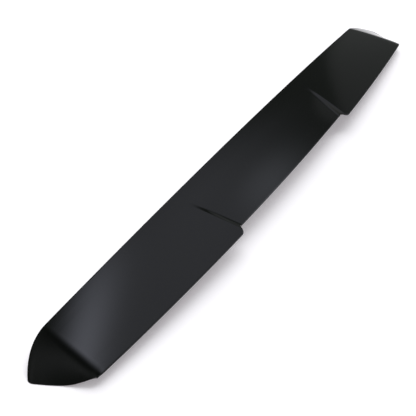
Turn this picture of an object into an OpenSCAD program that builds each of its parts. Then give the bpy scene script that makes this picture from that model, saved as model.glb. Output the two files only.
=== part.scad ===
// Rear spoiler for a car: one moulded blade that follows the rear edge of the bodywork.
// The blade is arched across the car, its middle third is set back and sunk between two slanted
// steps, and both ends turn down over a crease. It is drawn as it lies on a bench, on the rims of
// its two ends. X runs across the car, +Y is the leading edge, +Z is up.

/* [Plan outline] */
// Half of the overall width, from the centre line to the tip of an end
half_span = 571; // [540:1:640]
// Front to back depth of the blade on the centre line, before the middle is set back
chord = 124; // [105:1:160]
// How far the leading edge has moved forward at the sweep station
lead_sweep = 18.5; // [0:0.5:24]
// How far the trailing edge has moved forward at the sweep station
trail_sweep = 31; // [14:1:40]
// Distance from the centre line at which the sweeps and the arch falls are measured
sweep_at = 500; // [460:5:600]

/* [Arch and pitch] */
// Height of the trailing edge above the bench on the centre line, before the middle is sunk
trail_height = 34; // [30:0.5:60]
// Height of the leading edge above the trailing edge on the centre line
pitch_rise = 32.5; // [24:0.5:50]
// Fall of the leading edge from the centre line to the sweep station
lead_arch = 37; // [10:0.5:38]
// Fall of the trailing edge from the centre line to the sweep station
trail_arch = 17.5; // [5:0.5:22]
// Rise of the top surface above a straight section, at mid chord
camber = 0.5; // [0:0.5:10]

/* [Sunk middle] */
// Half the distance between the two steps, at the trailing edge
step_half = 183; // [120:0.5:260]
// How much farther apart the steps are at the leading edge than at the trailing edge
step_toe = 24; // [0:1:40]
// Width of the sloping face of a step, at the trailing edge
step_face = 8; // [5:0.5:14]
// Width of the sloping face of a step where it fades out
step_face_front = 3; // [2:0.5:6]
// Depth of the middle below the sides, at the trailing edge
step_depth = 5; // [1:0.1:8]
// Distance by which the trailing edge of the middle is set forward
step_setback = 13; // [4:0.5:20]
// Distance outwards from a step over which the trailing edge comes back, round a soft corner
notch_width = 13; // [9:0.5:24]
// Part of the chord, from the leading edge, over which a step has faded out
step_fade = 0.16; // [0.1:0.01:0.5]

/* [Down-turned ends] */
// Distance from the centre line to the crease, at the leading edge
crease_front = 499; // [440:1:516]
// How much farther out the crease is at the trailing edge
crease_toe = 15; // [4:1:18]
// Width over which the crease is rounded
crease_blend = 9; // [4:0.5:16]
// Slope beside the crease, as a part of the mean slope of an end
crease_slope = 0.5; // [0.3:0.05:1]
// Distance of the tip behind the leading edge of the centre line
tip_back = 6.5; // [-10:0.5:20]
// Distance from the tip back to the rear corner of an end
end_length = 80.5; // [66:0.5:84]
// Distance from the tip inwards to the rear corner of an end
end_rake = 44.5; // [20:0.5:48]
// Outward bow of the edge of an end
end_bow = 3; // [0:0.5:14]
// Steepest mean slope of an end. Its edge leaves the bench where the end is too short for it.
end_slope = 0.52; // [0.4:0.02:0.9]
// Height over which the edge eases off the bench
lift_blend = 3; // [1:0.5:5]
// Distance by which the edge of an end is drawn in at its rear corner
corner_tuck = 2; // [0:0.5:8]
// Part of the edge of an end over which it is drawn in
tuck_part = 0.3; // [0.1:0.05:0.5]
// Distance by which the tip corner is rounded off
tip_round = 5; // [1:0.5:8]
// Distance behind the tip at which the rounding of its corner ends
tip_round_length = 10; // [6:1:20]

/* [Wall] */
// Wall thickness
wall = 3; // [2:0.1:4]
// Thickness at the leading edge, which is feathered to meet the bodywork
lead_edge = 1.8; // [1:0.1:2]
// Distance behind the leading edge at which the wall has its full thickness
feather = 9; // [6:0.5:12]
// Depth of the thickened trailing lip
lip_depth = 4.2; // [4:0.1:6]
// Width of the thickened trailing lip
lip_width = 7; // [4:0.5:9]
// Radius of the edges of the trailing lip
lip_radius = 1.2; // [0.6:0.1:1.8]
// Radius of the edges of the leading edge
nose_radius = 0.8; // [0.4:0.1:0.9]
// Height of the chamfer on the rim of an end
rim_break = 0.8; // [0.4:0.1:1.5]

/* [Bonding lands] */
// Width of each of the two raised lands under the blade that take adhesive tape
land_width = 12; // [8:0.5:14]
// Height of the lands below the wall
land_height = 1; // [0.5:0.1:2]
// Distance from the feathered strip to the front land
front_gap = 3; // [1:0.5:6]
// Distance from the trailing lip to the rear land
rear_gap = 4; // [1:0.5:6]
// Width over which the lip and the lands run out into the wall
land_fade = 1.5; // [0.5:0.1:3]
// Distance inside the crease over which the lip and the lands run out endways
land_run_out = 42; // [20:1:80]

/* [Hidden] */
blade_colour = "#1a1c1b";

// Stations across the middle, a step, the soft corner beside it, a side, a crease and an end
middle_steps = 12;
face_steps = 6;
notch_steps = 4;
side_steps = 14;
crease_steps = 4;
end_steps = 7;
// Rows between the two bonding lands
between_steps = 6;
// Half the length, as a part of the chord, over which the slope of the surface is measured
probe = 0.002;
// Least upward part of a normal for which depth is still measured along it
steepest = 0.3;
// Part of the way down to the bench that the rounding of a top edge may take
clear_part = 0.4;
// Largest part of the reach of an end that the rounding of the crease may take
blend_share = 0.9;
// The leading edge rounds off over three rows: how far behind it the last one lies, in radii
nose_reach = 1.2;

trail_y = -chord / 2;
lead_y = chord / 2;

function arch(x, amount) = amount * pow(x / sweep_at, 2);
function ease(t) = let (c = min(1, max(0, t))) c * c * (3 - 2 * c);
function lerp(a, b, t) = a + (b - a) * t;
// Zero below -half, t above half, and a parabola between that joins the two
function eased_over(t, half) = t < -half ? 0 : t < half ? pow(t + half, 2) / (4 * half) : t;

// The leading edge, and the trailing edge that the sides would have without the steps
function lead_pt(x) = [x, lead_y + arch(x, lead_sweep), trail_height + pitch_rise - arch(x, lead_arch)];
function trail_pt(x) = [x, trail_y + arch(x, trail_sweep), trail_height - arch(x, trail_arch)];

// The steps and the crease, as distances from the centre line
function step_mid(v) = step_half + step_toe * (1 - v);
function face_half(v) = lerp(step_face_front, step_face, v) / 2;
function notch_end(v) = step_mid(v) + notch_width;
function crease_x(v) = crease_front + crease_toe * v;

// A point of the arched blade: v runs from the leading edge, 0, to the trailing edge, 1, and side
// is 0 on the sunk middle and 1 on the sides. The set back is still missing inside a step.
function missing(x, v) = pow(1 - min(1, max(0, (x - step_mid(v)) / notch_width)), 2);
function blade_pt(x, v, side) =
    let (a = lead_pt(x), b = trail_pt(x),
         w = v * (1 - missing(x, v) * step_setback / (a[1] - b[1])),
         sunk = (1 - side) * step_depth * ease((w - step_fade) / (1 - step_fade)))
    [x, lerp(a[1], b[1], w), lerp(a[2], b[2], w) + 4 * camber * w * (1 - w) - sunk];

// The edge of an end, in plan: raked, bowed outwards and rounded at the tip
function end_x(v) =
    half_span - end_rake * v + 4 * end_bow * v * (1 - v)
    - tip_round * pow(max(0, 1 - v * end_length / tip_round_length), 2)
    - corner_tuck * pow(max(0, (v - 1 + tuck_part) / tuck_part), 2);
function end_y(v) = lead_y - tip_back - end_length * v;

// A point of a down-turned end, a distance out beyond the crease line. The arched blade goes on
// above it, and an end falls away from that until its edge meets the bench.
function end_pt(out, v) =
    let (reach = end_x(v) - crease_x(v),
         half = min(crease_blend, reach * blend_share) / 2,
         t = eased_over(out, half) / reach,
         here = blade_pt(crease_x(v) + out, v, 1),
         last = blade_pt(end_x(v), v, 1),
         lift = eased_over(last[2] - end_slope * reach, lift_blend / 2),
         fall = (last[2] - lift) * t * lerp(crease_slope, 1, t))
    [here[0], lerp(here[1], end_y(v), t * t), here[2] - fall];

// Stations from the centre line outwards: each is a zone and a fraction of it
half_stations = concat(
    [for (i = [0:middle_steps - 1]) [0, i / middle_steps]],
    [for (i = [0:face_steps - 1]) [1, i / face_steps]],
    [for (i = [0:notch_steps - 1]) [2, i / notch_steps]],
    [for (i = [0:side_steps - 1]) [3, i / side_steps]],
    [for (i = [0:crease_steps - 1]) [4, i / crease_steps]],
    [for (i = [0:end_steps]) [5, i / end_steps]],
    [[6, 0]]
);
count = len(half_stations);

// The top surface at a station of one half
function half_pt(station, v) =
    let (zone = station[0], t = station[1],
         foot = step_mid(v) - face_half(v), crest = step_mid(v) + face_half(v),
         reach = end_x(v) - crease_x(v), half = min(crease_blend, reach * blend_share) / 2)
    zone == 0 ? blade_pt(foot * t, v, 0)
    : zone == 1 ? blade_pt(lerp(foot, crest, t), v, ease(t))
    : zone == 2 ? blade_pt(lerp(crest, notch_end(v), t), v, 1)
    : zone == 3 ? blade_pt(lerp(notch_end(v), crease_x(v) - half, t), v, 1)
    : zone == 4 ? end_pt(lerp(-half, half, t), v)
    : zone == 5 ? end_pt(lerp(half, reach - wall, t), v)
    : end_pt(reach - rim_break, v);

// The top surface at any station, from the left tip to the right tip
function top_pt(i, v) =
    let (k = i - (count - 1), p = half_pt(half_stations[abs(k)], v))
    k < 0 ? [-p[0], p[1], p[2]] : p;
last_station = 2 * count - 2;

// The outward normal of the top surface
function top_normal(i, v) =
    let (along = top_pt(min(last_station, i + 1), v) - top_pt(max(0, i - 1), v),
         back = top_pt(i, v + probe) - top_pt(i, v - probe),
         n = cross(back, along))
    n / norm(n);

// The section, from the leading edge to the trailing edge: each row is the edge that it is
// measured from (0 front, 1 rear, 2 between the lands), the distance from it, how far the top and
// the underside lie below the top surface, and how much of the latter runs out at the ends
lip_inner = lip_width + land_fade;
front_inner = feather + front_gap;
rear_inner = lip_inner + rear_gap;
land_depth = wall + land_height;
lip_extra = lip_depth - wall;
function feathered(d) = lerp(lead_edge, wall, d / feather);
rows = concat(
    [[0, 0, nose_radius, lead_edge - nose_radius / 2, 0],
     [0, nose_radius / 3, nose_radius / 3, lead_edge, 0],
     [0, nose_radius * nose_reach, 0, feathered(nose_radius * nose_reach), 0],
     [0, feather / 3, 0, feathered(feather / 3), 0],
     [0, feather * 2 / 3, 0, feathered(feather * 2 / 3), 0],
     [0, feather, 0, wall, 0],
     [0, front_inner, 0, wall, 0],
     [0, front_inner + land_fade, 0, land_depth, land_height],
     [0, front_inner + land_width, 0, land_depth, land_height],
     [0, front_inner + land_width + land_fade, 0, wall, 0]],
    [for (k = [1:between_steps]) [2, k / (between_steps + 1), 0, wall, 0]],
    [[1, rear_inner + land_width + land_fade, 0, wall, 0],
     [1, rear_inner + land_width, 0, land_depth, land_height],
     [1, rear_inner + land_fade, 0, land_depth, land_height],
     [1, rear_inner, 0, wall, 0],
     [1, lip_inner, 0, wall, 0],
     [1, lip_width, 0, lip_depth, lip_extra],
     [1, lip_radius, 0, lip_depth, lip_extra],
     [1, lip_radius / 3, lip_radius / 3, lip_depth - lip_radius / 3, lip_extra],
     [1, 0, lip_radius, lip_depth - lip_radius, lip_extra]]
);

function row_v(row, depth) =
    let (front = (front_inner + land_width + land_fade) / depth,
         rear = 1 - (rear_inner + land_width + land_fade) / depth)
    row[0] == 0 ? row[1] / depth : row[0] == 1 ? 1 - row[1] / depth : lerp(front, rear, row[1]);

// The part of the extra depth of the lip and the lands that is kept at a station
function kept(i) =
    let (station = half_stations[abs(i - (count - 1))],
         side_width = crease_front - step_half - notch_width)
    station[0] < 3 ? 1 : station[0] > 3 ? 0 : min(1, (1 - station[1]) * side_width / land_run_out);

// A closed section: the top rows backwards, then the underside rows forwards. The underside never
// reaches below the bench, which cuts the rims of the ends flat, and the top stays clear of it.
function section(i) =
    let (depth = norm(top_pt(i, 1) - top_pt(i, 0)),
         vs = [for (row = rows) row_v(row, depth)],
         tops = [for (v = vs) top_pt(i, v)],
         normals = [for (v = vs) top_normal(i, v)],
         lost = 1 - kept(i))
    concat(
        [for (k = [0:len(rows) - 1]) below(tops[k], normals[k], rows[k][2], clear_part)],
        [for (k = [len(rows) - 1:-1:0]) below(tops[k], normals[k], rows[k][3] - rows[k][4] * lost, 1)]
    );
function below(p, n, d, part) = p - n * min(d, part * p[2] / max(n[2], steepest));

points = [for (i = [0:last_station]) each section(i)];
ring = 2 * len(rows);
faces = concat(
    [for (i = [0:last_station - 1]) for (k = [0:ring - 1])
        let (a = i * ring + k, b = i * ring + (k + 1) % ring)
        each [[a, b + ring, b], [a, a + ring, b + ring]]],
    [for (i = [0, last_station]) for (k = [0:len(rows) - 2])
        let (a = i * ring + k, c = i * ring + ring - 1 - k)
        each (i == 0 ? [[a, a + 1, c], [a + 1, c - 1, c]] : [[a, c, a + 1], [a + 1, c, c - 1]])]
);
y_mid = (max([for (p = points) p[1]]) + min([for (p = points) p[1]])) / 2;

module spoiler_blade() {
    color(blade_colour)
        translate([0, -y_mid, 0])
            polyhedron(points, faces, convexity = 6);
}

spoiler_blade();
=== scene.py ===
"""Rear spoiler: the moulded blade's skin, its gloss black ABS, the floor, light and camera."""

import math

import bpy
import numpy as np
from mathutils import Matrix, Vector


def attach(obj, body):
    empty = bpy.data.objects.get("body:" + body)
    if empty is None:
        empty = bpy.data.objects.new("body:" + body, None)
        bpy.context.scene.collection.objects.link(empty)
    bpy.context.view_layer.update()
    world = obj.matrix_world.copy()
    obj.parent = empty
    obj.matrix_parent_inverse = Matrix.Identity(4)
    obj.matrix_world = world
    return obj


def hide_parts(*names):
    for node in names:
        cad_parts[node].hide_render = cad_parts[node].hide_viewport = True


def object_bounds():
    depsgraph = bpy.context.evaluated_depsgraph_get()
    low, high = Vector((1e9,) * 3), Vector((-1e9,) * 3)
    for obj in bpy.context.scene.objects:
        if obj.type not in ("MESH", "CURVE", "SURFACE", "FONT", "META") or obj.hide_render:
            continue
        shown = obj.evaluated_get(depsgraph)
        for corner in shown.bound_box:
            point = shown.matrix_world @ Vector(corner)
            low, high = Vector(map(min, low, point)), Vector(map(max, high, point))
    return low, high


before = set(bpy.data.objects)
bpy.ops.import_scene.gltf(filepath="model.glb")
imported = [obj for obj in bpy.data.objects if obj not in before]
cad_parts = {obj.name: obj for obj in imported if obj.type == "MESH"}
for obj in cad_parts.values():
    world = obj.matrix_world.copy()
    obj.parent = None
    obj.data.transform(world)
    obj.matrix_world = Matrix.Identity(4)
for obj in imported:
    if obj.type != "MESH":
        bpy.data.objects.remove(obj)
cad_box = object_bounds()

MM = 0.001

# Lengths are in millimetres and as the solid has them, unless a comment says otherwise

# Plan outline of the blade
HALF_SPAN = 571.0
CHORD = 124.0
LEAD_SWEEP = 18.5
TRAIL_SWEEP = 31.0
SWEEP_AT = 500.0
# Arch and pitch
TRAIL_HEIGHT = 34.0
PITCH_RISE = 32.5
LEAD_ARCH = 37.0
TRAIL_ARCH = 17.5
# The skin is crowned 1 mm more than the solid, which the long highlights of a moulded blade need
CAMBER = 1.5
# Sunk middle, the two steps beside it and the soft corner of the trailing edge at each step
STEP_HALF = 183.0
STEP_TOE = 24.0
# The skin's step face is nearly as wide in front as behind, where the solid's narrows to 3 mm
STEP_FACE = 7.5
STEP_FACE_FRONT = 5.0
FACE_EASE = 0.3
STEP_DEPTH = 5.0
STEP_SETBACK = 13.0
NOTCH_WIDTH = 13.0
STEP_FADE = 0.16
# Down-turned ends: the crease, the raked and bowed edge in plan, and how steep the end may be
CREASE_FRONT = 499.0
# The skin's crease toes out 5 mm more than the solid's and rounds over more broadly at the back
CREASE_TOE = 20.0
CREASE_BLEND = 9.0
CREASE_BLEND_REAR = 30.0
BLEND_SHARE = 0.8
CREASE_SLOPE = 0.5
TIP_BACK = 6.5
END_LENGTH = 80.5
END_RAKE = 44.5
END_BOW = 3.0
END_SLOPE = 0.52
# The skin's rim leaves the bench more softly than the solid's and turns round the rear corner
LIFT_BLEND = 9.0
CORNER_TUCK = 5.0
TUCK_PART = 0.4
TIP_ROUND = 5.0
TIP_ROUND_LENGTH = 10.0
# Wall, lip, and the two tape lands of the under side
WALL = 3.0
LEAD_EDGE = 1.8
FEATHER = 9.0
LIP_DEPTH = 4.2
LIP_WIDTH = 7.0
LIP_RADIUS = 1.2
NOSE_RADIUS = 0.8
RIM_BREAK = 0.8
LAND_WIDTH = 12.0
LAND_HEIGHT = 1.0
FRONT_GAP = 3.0
REAR_GAP = 4.0
LAND_FADE = 1.5
LAND_RUN_OUT = 42.0

LEAD_Y = CHORD / 2
TRAIL_Y = -CHORD / 2

# Zones of one half of the blade from the centre line out, and how many stations each is cut into
MIDDLE, STEP, CORNER, SIDE, CREASE, END = range(6)
ZONE_STATIONS = ((MIDDLE, 40), (STEP, 16), (CORNER, 12), (SIDE, 60), (CREASE, 24), (END, 48))


def ease(t):
    """Three t squared less two t cubed, with t held between 0 and 1."""
    t = np.clip(t, 0.0, 1.0)
    return t * t * (3 - 2 * t)


def eased_over(t, half):
    """Zero below -half, t above half, and between them the parabola (t + half)^2 / (4 half)."""
    return np.where(t < -half, 0.0, np.where(t < half, (t + half) ** 2 / (4 * half), t))


def lerp(a, b, t):
    """The value a part t of the way from a to b."""
    return a + (b - a) * t


def step_mid(v):
    """Distance of the middle of a step from the centre line: a straight line that toes in."""
    return STEP_HALF + STEP_TOE * (1 - v)


def crease_line(v):
    """Distance of the crease from the centre line: straight, and farther out at the back."""
    return CREASE_FRONT + CREASE_TOE * v


def blade(x, v, side):
    """The arched blade: leading and trailing edges are parabolas of x in plan and in height, and the
    surface runs straight between them at part v of the chord, plus a parabola of camber. Inside a
    step the chord lacks the setback, which comes back as a parabola of x over the notch width; where
    side is 0 the surface is sunk by an eased ramp."""
    k = (x / SWEEP_AT) ** 2
    lead_y, lead_z = LEAD_Y + LEAD_SWEEP * k, TRAIL_HEIGHT + PITCH_RISE - LEAD_ARCH * k
    trail_y, trail_z = TRAIL_Y + TRAIL_SWEEP * k, TRAIL_HEIGHT - TRAIL_ARCH * k
    missing = (1 - np.clip((x - step_mid(v)) / NOTCH_WIDTH, 0.0, 1.0)) ** 2
    w = v * (1 - missing * STEP_SETBACK / (lead_y - trail_y))
    sunk = (1 - side) * STEP_DEPTH * ease((w - STEP_FADE) / (1 - STEP_FADE))
    return lerp(lead_y, trail_y, w), lerp(lead_z, trail_z, w) + 4 * CAMBER * w * (1 - w) - sunk


def end_edge(v):
    """The plan edge of an end: a raked line with a parabola of bow, less a squared rounding at the
    tip and a cubed tuck at the rear corner."""
    rounding = TIP_ROUND * np.maximum(0.0, 1 - v * END_LENGTH / TIP_ROUND_LENGTH) ** 2
    tuck = CORNER_TUCK * np.maximum(0.0, (v - 1 + TUCK_PART) / TUCK_PART) ** 3
    x = HALF_SPAN - END_RAKE * v + 4 * END_BOW * v * (1 - v) - rounding - tuck
    return x, LEAD_Y - TIP_BACK - END_LENGTH * v


def crease_half(v):
    """Half the width that the crease is rounded over: it widens in a line towards the back."""
    return lerp(CREASE_BLEND, CREASE_BLEND_REAR, v) / 2


def end_surface(out, v):
    """A down-turned end at a distance out past the crease: the blade goes on above it, and the end
    falls away from that as a quadratic of the part of the reach that has been turned, down to the
    bench or to where its steepest mean slope lets it. In plan it moves from the blade to the end's
    edge with the square of that part. The crease is a parabola that joins two slopes."""
    x_end, y_end = end_edge(v)
    x_crease = crease_line(v)
    reach = x_end - x_crease
    half = crease_half(v)
    t = eased_over(out, half) / eased_over(reach, half)
    y, z = blade(x_crease + out, v, 1.0)
    z_last = blade(x_end, v, 1.0)[1]
    lift = eased_over(z_last - END_SLOPE * reach, LIFT_BLEND / 2)
    fall = (z_last - lift) * t * lerp(CREASE_SLOPE, 1.0, t)
    return x_crease + out, lerp(y, y_end, t * t), z - fall


def half_station(zone, t, v):
    """The top surface of one half at fraction t of a zone. The step face goes from sunk to full
    height in a line that is partly eased."""
    face = lerp(STEP_FACE_FRONT, STEP_FACE, v) / 2
    foot, crest = step_mid(v) - face, step_mid(v) + face
    notch_end = step_mid(v) + NOTCH_WIDTH
    crease = crease_line(v)
    reach = end_edge(v)[0] - crease
    half, rim = crease_half(v), reach - RIM_BREAK
    turned = np.minimum(half, rim * BLEND_SHARE)
    if zone == CREASE:
        return end_surface(lerp(-half, turned, t), v)
    if zone == END:
        return end_surface(lerp(turned, rim, t), v)
    start, stop, side = {
        MIDDLE: (0.0, foot, 0.0),
        STEP: (foot, crest, lerp(t, ease(t), FACE_EASE)),
        CORNER: (crest, notch_end, 1.0),
        SIDE: (notch_end, crease - half, 1.0),
    }[zone]
    x = lerp(start, stop, t)
    y, z = blade(x, v, side)
    return x, y, z


def stations():
    """Zone and fraction of every station of one half, from the centre line to the rim."""
    return [(zone, k / n) for zone, n in ZONE_STATIONS for k in range(n)] + [(END, 1.0)]


def mirrored(half):
    """Both halves of what is known for the right one, from the left rim to the right rim."""
    return np.concatenate([half[:0:-1], half])


def top_grid(v):
    """Points of the top surface, stations by rows, from the left rim to the right one, where v holds
    the chord fractions of the rows at each station of the right half."""
    half = np.array([np.stack(np.broadcast_arrays(*half_station(zone, t, row)), -1)
                     for (zone, t), row in zip(stations(), v)])
    both = mirrored(half)
    both[: len(half) - 1, :, 0] *= -1
    return both


# What a row of the section is measured from; how many rows the round nose and lip, the feathered
# edge and the middle take; and how far the rows of the lip's flat under side lie from the rear edge
FRONT, REAR, BETWEEN = range(3)
QUARTER_ROWS = 6
FEATHER_ROWS = 7
BETWEEN_ROWS = 23
LIP_FLATS = (LIP_WIDTH, 5.0, 3.0, 2.0)


def section_rows():
    """The section as rows of (what it is measured from; distance from that, or part of the way
    between the lands; depth of the top; depth of the under side; how much of that runs out at the
    ends), with quarter circles on the nose and on the lip."""
    lip_inner = LIP_WIDTH + LAND_FADE
    front, rear = FEATHER + FRONT_GAP, lip_inner + REAR_GAP
    land, lip = WALL + LAND_HEIGHT, LIP_DEPTH - WALL
    turn = np.linspace(0.0, math.pi / 2, QUARTER_ROWS)
    rows = [(FRONT, NOSE_RADIUS * (1 - math.cos(a)), NOSE_RADIUS * (1 - math.sin(a)),
             LEAD_EDGE - NOSE_RADIUS / 2 * (1 - math.sin(a)), 0.0) for a in turn[:-1]]
    rows += [(FRONT, d, 0.0, lerp(LEAD_EDGE, WALL, d / FEATHER), 0.0)
             for d in np.linspace(NOSE_RADIUS, FEATHER, FEATHER_ROWS)]
    rows += [(FRONT, front, 0.0, WALL, 0.0),
             (FRONT, front + LAND_FADE, 0.0, land, LAND_HEIGHT),
             (FRONT, front + LAND_WIDTH, 0.0, land, LAND_HEIGHT),
             (FRONT, front + LAND_WIDTH + LAND_FADE, 0.0, WALL, 0.0)]
    rows += [(BETWEEN, k / (BETWEEN_ROWS + 1), 0.0, WALL, 0.0) for k in range(1, BETWEEN_ROWS + 1)]
    rows += [(REAR, rear + LAND_WIDTH + LAND_FADE, 0.0, WALL, 0.0),
             (REAR, rear + LAND_WIDTH, 0.0, land, LAND_HEIGHT),
             (REAR, rear + LAND_FADE, 0.0, land, LAND_HEIGHT),
             (REAR, rear, 0.0, WALL, 0.0),
             (REAR, lip_inner, 0.0, WALL, 0.0)]
    rows += [(REAR, d, 0.0, LIP_DEPTH, lip) for d in LIP_FLATS]
    rows += [(REAR, LIP_RADIUS * (1 - math.sin(a)), LIP_RADIUS * (1 - math.cos(a)),
              LIP_DEPTH - LIP_RADIUS * (1 - math.cos(a)), lip) for a in turn]
    return np.array(rows)


def row_fractions(rows, depth):
    """Chord fractions of the rows for each station's front to back depth."""
    inner = FEATHER + FRONT_GAP + LAND_WIDTH + LAND_FADE
    outer = LIP_WIDTH + LAND_FADE + REAR_GAP + LAND_WIDTH + LAND_FADE
    depth = depth[:, None]
    kind, d = rows[:, 0], rows[:, 1]
    between = lerp(inner / depth, 1 - outer / depth, d)
    return np.where(kind == FRONT, d / depth, np.where(kind == REAR, 1 - d / depth, between))


def kept():
    """The part of the extra depth of the lip and the lands kept at each station: all of it up to the
    run-out inside the crease, none past the crease."""
    width = CREASE_FRONT - STEP_HALF - NOTCH_WIDTH
    left = [min(1.0, (1 - t) * width / LAND_RUN_OUT) if zone == SIDE else float(zone < SIDE)
            for zone, t in stations()]
    return mirrored(np.array(left))


# Half the part of the chord that a slope is taken over; the part of the room above the bench that
# the top's rounding may use; and the least upward part of a normal that the room is reckoned with
PROBE = 0.002
CLEAR_PART = 0.4
LEAST_UP = 0.3


def blade_mesh():
    """The skin of the blade: at each station the section's rows are set on the top surface and
    pushed down along its normal by their depths, never below the bench, and the rings are joined.
    The points are held inside the solid's own box."""
    rows = section_rows()
    tips = top_grid(np.tile([0.0, 1.0], (len(stations()), 1)))
    depth = np.linalg.norm(tips[:, 1] - tips[:, 0], axis=-1)[len(stations()) - 1 :]
    v = row_fractions(rows, depth)
    top = top_grid(v)
    normal = np.cross(top_grid(v + PROBE) - top_grid(v - PROBE), np.gradient(top, axis=0))
    normal /= np.linalg.norm(normal, axis=-1, keepdims=True)
    room = top[..., 2] / np.maximum(normal[..., 2], LEAST_UP)
    depth_below = rows[:, 3] - rows[:, 4] * (1 - kept()[:, None])
    upper = top - normal * np.minimum(rows[:, 2], CLEAR_PART * room)[..., None]
    under = top - normal * np.minimum(depth_below, room)[..., None]
    ring = np.concatenate([upper, under[:, ::-1]], axis=1)
    n, m = ring.shape[:2]
    index = np.arange(n * m).reshape(n, m)
    a, b = index[:-1], index[1:]
    walls = np.stack([a, np.roll(a, -1, 1), np.roll(b, -1, 1), b], -1).reshape(-1, 4)
    k = np.arange(m // 2 - 1)
    cap = np.stack([k, m - 1 - k, m - 2 - k, k + 1], -1)
    faces = np.concatenate([walls, index[0][cap], index[-1][cap[:, ::-1]]])
    points = ring.reshape(-1, 3)
    y_mid = (points[:, 1].max() + points[:, 1].min()) / 2
    return np.clip((points - [0.0, y_mid, 0.0]) * MM, *np.array(cad_box)), faces


# Edges that turn by more than this are shaded sharp
SHARP_PAST = math.radians(32.0)


def piece(name, points, faces, material):
    """A mesh object from arrays, at the origin, shaded smooth except over edges past an angle."""
    mesh = bpy.data.meshes.new(name)
    mesh.from_pydata(points.tolist(), [], faces.tolist())
    mesh.shade_smooth()
    mesh.set_sharp_from_angle(angle=SHARP_PAST)
    obj = bpy.data.objects.new(name, mesh)
    bpy.context.collection.objects.link(obj)
    obj.data.materials.append(material)
    return obj


def linear(hex_colour):
    """An sRGB hex colour as a linear RGBA value."""
    srgb = [int(hex_colour[k : k + 2], 16) / 255 for k in (1, 3, 5)]
    return [c / 12.92 if c <= 0.04045 else ((c + 0.055) / 1.055) ** 2.4 for c in srgb] + [1.0]


def add(tree, kind, sets=None, *in_order, **by_name):
    """Adds a node, sets its properties and plain inputs, and feeds the inputs given in order and by
    name: an output is linked, and a value is set."""
    node = tree.nodes.new(kind)
    for key, value in (sets or {}).items():
        if hasattr(node, key):
            setattr(node, key, value)
        else:
            node.inputs[key].default_value = value
    feeds = list(zip(node.inputs, in_order))
    feeds += [(node.inputs[key.replace("_", " ")], source) for key, source in by_name.items()]
    for socket, source in feeds:
        if isinstance(source, bpy.types.NodeSocket):
            tree.links.new(source, socket)
        else:
            socket.default_value = source
    return node


def new_material(name):
    """An empty node material and its tree."""
    material = bpy.data.materials.new(name)
    material.use_nodes = True
    material.node_tree.nodes.clear()
    return material, material.node_tree


# Dyed ABS. The noises are in cells to the metre: haze patches of 111 mm, orange peel of 2.4 mm
ABS_BLACK = "#0a0b0a"
ABS_IOR = 1.5
HAZE_CELLS = 9.0
PEEL_CELLS = 420.0
PEEL_HEIGHT = 0.4
PEEL_STRENGTH = 0.02
SMOOTHEST, HAZIEST = 0.05, 0.07


def gloss_black_abs():
    """Injection-moulded ABS, dyed black and released from a polished tool: a deep black that mirrors
    its surroundings almost sharply, with a faint orange-peel ripple and a little haze in patches."""
    material, tree = new_material("gloss_black_abs")
    place = add(tree, "ShaderNodeTexCoord").outputs["Object"]
    haze = add(tree, "ShaderNodeTexNoise", {"Scale": HAZE_CELLS, "Detail": 3.0}, Vector=place)
    rough = add(tree, "ShaderNodeMapRange", {"To Min": SMOOTHEST, "To Max": HAZIEST},
                Value=haze.outputs["Fac"])
    peel = add(tree, "ShaderNodeTexNoise", {"Scale": PEEL_CELLS, "Detail": 1.0}, Vector=place)
    bump = add(tree, "ShaderNodeBump", {"Strength": PEEL_STRENGTH, "Distance": PEEL_HEIGHT * MM},
               Height=peel.outputs["Fac"])
    shader = add(tree, "ShaderNodeBsdfPrincipled", {"Base Color": linear(ABS_BLACK), "IOR": ABS_IOR},
                 Roughness=rough.outputs["Result"], Normal=bump.outputs["Normal"])
    add(tree, "ShaderNodeOutputMaterial", None, Surface=shader.outputs["BSDF"])
    return material


points, faces = blade_mesh()
blade_piece = piece("moulded_blade", points, faces, gloss_black_abs())
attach(blade_piece, "root")
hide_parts("spoiler_blade")


# White sweep paper: its colour, and the colour and strength of the lift that makes it plain white;
# and half the side of the sheet in metres
PAPER_WHITE = "#f4f4f6"
LIFT_WHITE = "#fff7fd"
FLOOR_LIFT = 0.28
FLOOR_HALF = 6.0


def floor_material():
    """Matt white sweep paper: it takes the shadow, and a lift makes it plain white to the camera and
    in whatever the blade mirrors."""
    material, tree = new_material("white_paper")
    paper = add(tree, "ShaderNodeBsdfDiffuse", {"Color": linear(PAPER_WHITE)})
    path = add(tree, "ShaderNodeLightPath").outputs
    seen = path["Is Camera Ray"]
    for ray in ("Is Glossy Ray", "Is Transmission Ray"):
        seen = add(tree, "ShaderNodeMath", {"operation": "MAXIMUM"}, seen, path[ray]).outputs[0]
    level = add(tree, "ShaderNodeMath", {"operation": "MULTIPLY"}, seen, FLOOR_LIFT)
    lift = add(tree, "ShaderNodeEmission", {"Color": linear(LIFT_WHITE)}, Strength=level.outputs[0])
    both = add(tree, "ShaderNodeAddShader", None, paper.outputs[0], lift.outputs[0])
    add(tree, "ShaderNodeOutputMaterial", None, Surface=both.outputs[0])
    return material


floor_points = np.array([[-1, -1, 0], [1, -1, 0], [1, 1, 0], [-1, 1, 0]]) * FLOOR_HALF
floor = piece("floor", floor_points, np.array([[0, 1, 2, 3]]), floor_material())


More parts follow.
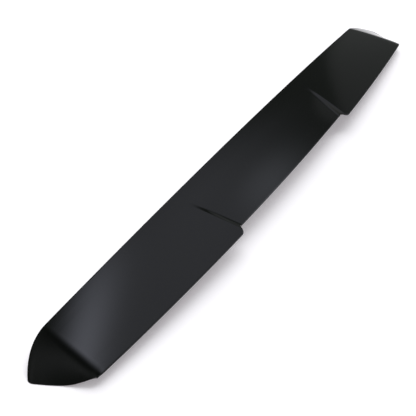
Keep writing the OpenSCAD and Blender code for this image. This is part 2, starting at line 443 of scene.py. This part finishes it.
# Lit panels of the studio that the blade mirrors, and a black card that takes light from the walls:
# angle of the middle from straight up towards +X and towards +Y, half width each way, all in
# degrees, how hard the edge is, and the light in red, green and blue
PANELS = (
    ("key_softbox", 15.8, 14.5, 6.8, 4.8, 1.0, (1.35, 1.4, 1.65)),
    ("ceiling", 26.0, 2.0, 21.0, 15.0, 2.0, (0.47, 0.475, 0.55)),
    ("rear_strip", 44.0, -14.5, 5.5, 6.7, 1.0, (2.1, 2.2, 2.5)),
    ("back_strip", 44.0, -40.0, 16.0, 7.0, 1.0, (1.2, 1.2, 1.3)),
    ("near_glow", -22.0, 22.0, 13.0, 14.0, 1.0, (0.17, 0.17, 0.18)),
    ("black_card", 0.0, 18.0, 9.0, 11.0, 2.0, (-0.05, -0.055, -0.05)),
    ("side_glow", -4.0, 0.0, 16.0, 9.0, 2.0, (0.44, 0.45, 0.42)),
    ("far_wall", 86.4, -15.6, 31.5, 31.5, 60.0, (0.12, 0.12, 0.125)),
)
DARK_WALLS = (0.07, 0.08, 0.072)


def panel(tree, way, name, towards_x, towards_y, half_x, half_y, edge, light):
    """One panel: the sum of the squares of the sines across and along it, each over that of its half
    width, raised to the hardness of the edge, and the light times e to minus that. It shows in the
    opposite direction as well, which the floor hides for all but the far wall."""
    a, b = math.radians(towards_x), math.radians(towards_y)
    across = np.array([math.cos(a), 0.0, -math.sin(a)]) / math.radians(half_x)
    along = np.array([-math.sin(a) * math.sin(b), math.cos(b), -math.cos(a) * math.sin(b)])
    squares = []
    for axis in (across, along / math.radians(half_y)):
        dot = add(tree, "ShaderNodeVectorMath", {"operation": "DOT_PRODUCT"}, way, axis)
        sine = dot.outputs["Value"]
        squares.append(add(tree, "ShaderNodeMath", {"operation": "MULTIPLY"}, sine, sine).outputs[0])
    total = add(tree, "ShaderNodeMath", {"operation": "ADD"}, *squares).outputs[0]
    hard = add(tree, "ShaderNodeMath", {"operation": "POWER"}, total, edge).outputs[0]
    minus = add(tree, "ShaderNodeMath", {"operation": "MULTIPLY"}, hard, -1.0).outputs[0]
    fall = add(tree, "ShaderNodeMath", {"operation": "EXPONENT"}, minus).outputs[0]
    shade = add(tree, "ShaderNodeVectorMath", {"operation": "SCALE", "label": name}, light, Scale=fall)
    return shade.outputs[0]


def world_light():
    """Studio surroundings: dark walls and the lit panels, added up."""
    world = bpy.data.worlds.new("studio")
    bpy.context.scene.world = world
    world.use_nodes = True
    tree = world.node_tree
    tree.nodes.clear()
    way = add(tree, "ShaderNodeTexCoord").outputs["Generated"]
    walls = add(tree, "ShaderNodeCombineXYZ", dict(zip("XYZ", DARK_WALLS)))
    light = walls.outputs[0]
    for row in PANELS:
        lit = panel(tree, way, *row)
        light = add(tree, "ShaderNodeVectorMath", {"operation": "ADD"}, light, lit).outputs[0]
    shade = add(tree, "ShaderNodeBackground", {"Strength": 1.0}, Color=light)
    add(tree, "ShaderNodeOutputWorld", None, Surface=shade.outputs[0])


world_light()


def sun(name, direction, strength, spread):
    """A wide sun that shines from a direction, and that the blade does not mirror."""
    data = bpy.data.lights.new(name, "SUN")
    data.energy, data.angle = strength, math.radians(spread)
    lamp = bpy.data.objects.new(name, data)
    z = np.array(direction) / np.linalg.norm(direction)
    x = np.cross([0.0, 1.0, 0.0], z)
    x /= np.linalg.norm(x)
    turn = np.stack([x, np.cross(z, x), z], 1)
    lamp.matrix_world = Matrix(turn.tolist()).to_4x4()
    lamp.visible_glossy = False
    bpy.context.collection.objects.link(lamp)


sun("window_side", (0.85, 0.32, 0.8), 2.9, 70.0)
sun("soft_overhead", (-0.05, 0.15, 0.99), 0.4, 150.0)


# The photograph's camera: where it stands, how it is turned, in degrees, and its focal length and
# picture width in pixels
CAMERA_AT = (-1052.3, -531.7, 881.7)
CAMERA_DOWN = 39.429
CAMERA_TOWARDS = 58.481
FOCAL_PIXELS = 850.4
FRAME_PIXELS = 416
SENSOR = 36.0


def camera():
    """A level camera that looks down by one angle, turned from +Y towards +X by the other."""
    data = bpy.data.cameras.new("photo_camera")
    data.sensor_width = SENSOR
    data.lens = SENSOR * FOCAL_PIXELS / FRAME_PIXELS
    down, towards = math.radians(CAMERA_DOWN), math.radians(CAMERA_TOWARDS)
    ahead = np.array([math.sin(towards) * math.cos(down), math.cos(towards) * math.cos(down),
                      -math.sin(down)])
    right = np.array([math.cos(towards), -math.sin(towards), 0.0])
    turn = np.stack([right, np.cross(right, ahead), -ahead], 1)
    obj = bpy.data.objects.new("photo_camera", data)
    obj.matrix_world = Matrix.Translation(np.array(CAMERA_AT) * MM) @ Matrix(turn.tolist()).to_4x4()
    bpy.context.collection.objects.link(obj)
    bpy.context.scene.camera = obj


camera()
bpy.context.scene.view_settings.view_transform = "Standard"
